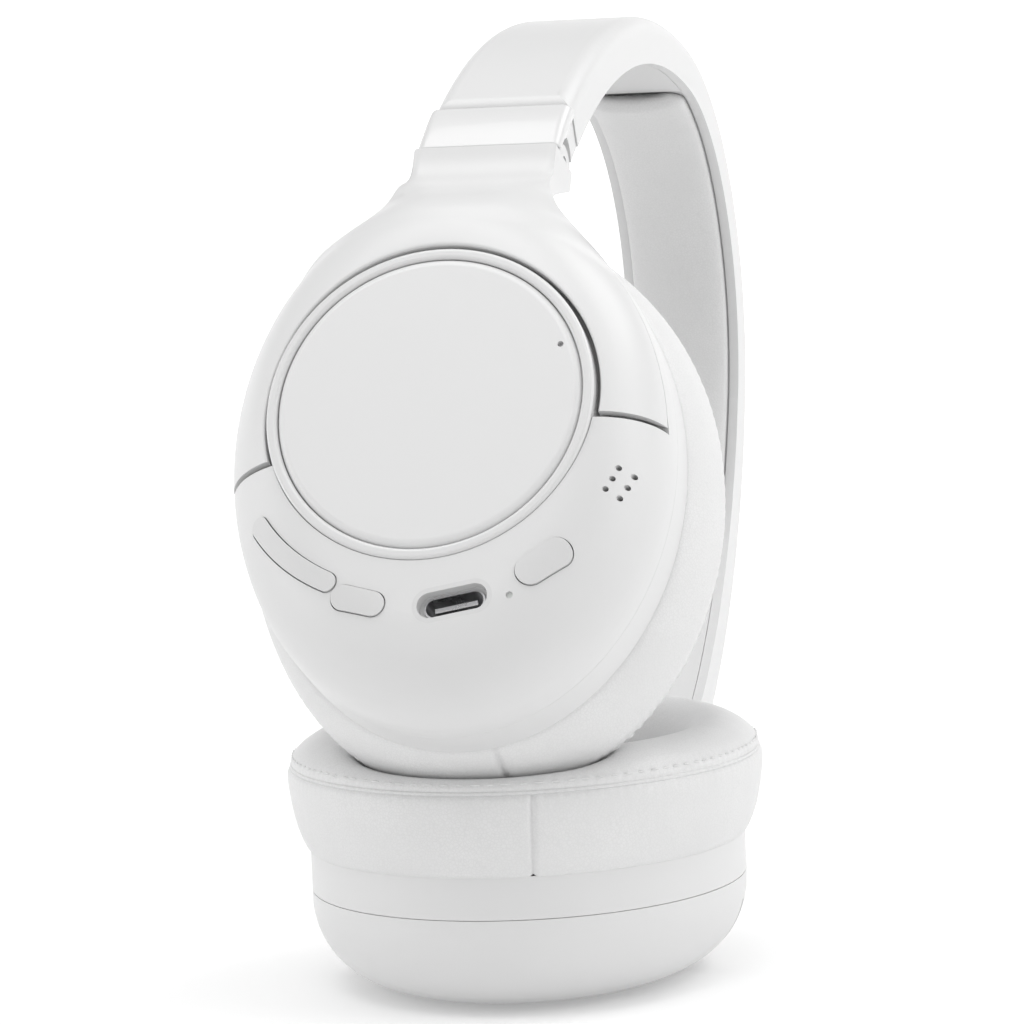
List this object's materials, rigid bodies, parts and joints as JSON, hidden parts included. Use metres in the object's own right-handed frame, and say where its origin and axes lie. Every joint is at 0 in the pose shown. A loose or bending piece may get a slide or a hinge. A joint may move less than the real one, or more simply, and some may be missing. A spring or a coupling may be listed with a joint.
{
  "type": "over ear headphones",
  "caption": "Folding over ear headphones lying on one ear cup, with sliding arms, fold hinges, tilting yokes, soft ear cushions, a padded band and press keys.",
  "frame": {"origin": "middle of the left ear cup's outer face, which lies on the floor", "axes": "-Z out of the left cup's outer face into the floor, +X up the left cup's arm to its fold hinge, -Y the wearer's front"},
  "size_m": [0.1752, 0.0705, 0.1448],
  "materials": {
    "white_shell": "fine satin",
    "white_cap": "satin",
    "white_gloss": "gloss",
    "white_key": "satin",
    "cushion_leather": "soft grain",
    "pad_leather": "soft grain",
    "grey_plastic": "satin",
    "steel": "brushed",
    "black_metal": "matt",
    "grille_fabric": "fine mesh",
    "board_green": "satin",
    "battery_wrap": "foil",
    "lamp": "clear"
  },
  "bodies": {
    "headband": {"band_shell": "white_shell", "band_spring": "steel", "pad_base": "grey_plastic", "band_pad": "pad_leather", "left_leg_cover": "white_shell", "right_leg_cover": "white_shell", "left_slide_guide": "grey_plastic", "right_slide_guide": "grey_plastic"},
    "left_arm": {"left_slider_strip": "steel", "left_hinge_block": "white_shell", "left_hinge_plate": "white_gloss", "left_hinge_pin": "steel"},
    "left_yoke_body": {"left_yoke": "white_shell", "left_yoke_pins": "steel"},
    "left_cup": {"left_cup_front": "white_shell", "left_cup_back": "white_shell", "left_cup_screws": "steel", "left_cap": "white_cap", "left_cap_ring": "white_gloss", "left_driver_frame": "black_metal", "left_driver_magnet": "steel", "left_driver_cone": "black_metal", "left_speaker_grille": "grille_fabric", "left_cushion_ring": "grey_plastic", "left_cushion": "cushion_leather", "left_battery": "battery_wrap"},
    "right_arm": {"right_slider_strip": "steel", "right_hinge_block": "white_shell", "right_hinge_plate": "white_gloss", "right_hinge_pin": "steel"},
    "right_yoke_body": {"right_yoke": "white_shell", "right_yoke_pins": "steel"},
    "right_cup": {"right_cup_front": "white_shell", "right_cup_back": "white_shell", "right_cup_screws": "steel", "right_cap": "white_cap", "right_cap_ring": "white_gloss", "right_driver_frame": "black_metal", "right_driver_magnet": "steel", "right_driver_cone": "black_metal", "right_speaker_grille": "grille_fabric", "right_cushion_ring": "grey_plastic", "right_cushion": "cushion_leather", "right_circuit_board": "board_green", "usb_surround": "grey_plastic", "usb_socket": "steel", "led_pipe": "lamp"},
    "volume_rocker_key": {"volume_rocker": "white_key"},
    "mode_button_key": {"mode_button": "white_key"},
    "power_button_key": {"power_button": "white_key"}
  },
  "joints": [
    {"name": "left_slide", "type": "slide", "parent": "headband", "child": "left_arm", "axis": [-0.823, 0, -0.568], "range_m": [0, 0.024]},
    {"name": "right_slide", "type": "slide", "parent": "headband", "child": "right_arm", "axis": [-0.9373, 0, -0.3484], "range_m": [0, 0.024]},
    {"name": "left_fold", "type": "hinge", "parent": "left_arm", "child": "left_yoke_body", "pos_m": [0.0466, 0, 0.0192], "axis": [0, 1, 0], "range_deg": [-13.4, 1]},
    {"name": "right_fold", "type": "hinge", "parent": "right_arm", "child": "right_yoke_body", "pos_m": [-0.00654, 0, 0.12128], "axis": [0, -1, 0], "range_deg": [-20.7, 68]},
    {"name": "left_tilt", "type": "hinge", "parent": "left_yoke_body", "child": "left_cup", "pos_m": [0.001, 0, 0.0065], "axis": [0, -1, 0], "range_deg": [0, 7]},
    {"name": "right_tilt", "type": "hinge", "parent": "right_yoke_body", "child": "right_cup", "pos_m": [-0.03898, 0, 0.08681], "axis": [0, 1, 0], "range_deg": [0, 7]},
    {"name": "volume_press", "type": "hinge", "parent": "right_cup", "child": "volume_rocker_key", "pos_m": [-0.05409, 0.01855, 0.06728], "axis": [-0.3638, 0.6225, -0.6929], "range_deg": [-1.2, 1.2], "stiffness_Nm_per_rad": 0.05},
    {"name": "mode_press", "type": "slide", "parent": "right_cup", "child": "mode_button_key", "axis": [0.8854, 0, -0.4648], "range_m": [0, 0.0005], "stiffness_N_per_m": 400},
    {"name": "power_press", "type": "slide", "parent": "right_cup", "child": "power_button_key", "axis": [0.8854, 0, -0.4648], "range_m": [0, 0.0005], "stiffness_N_per_m": 400}
  ]
}
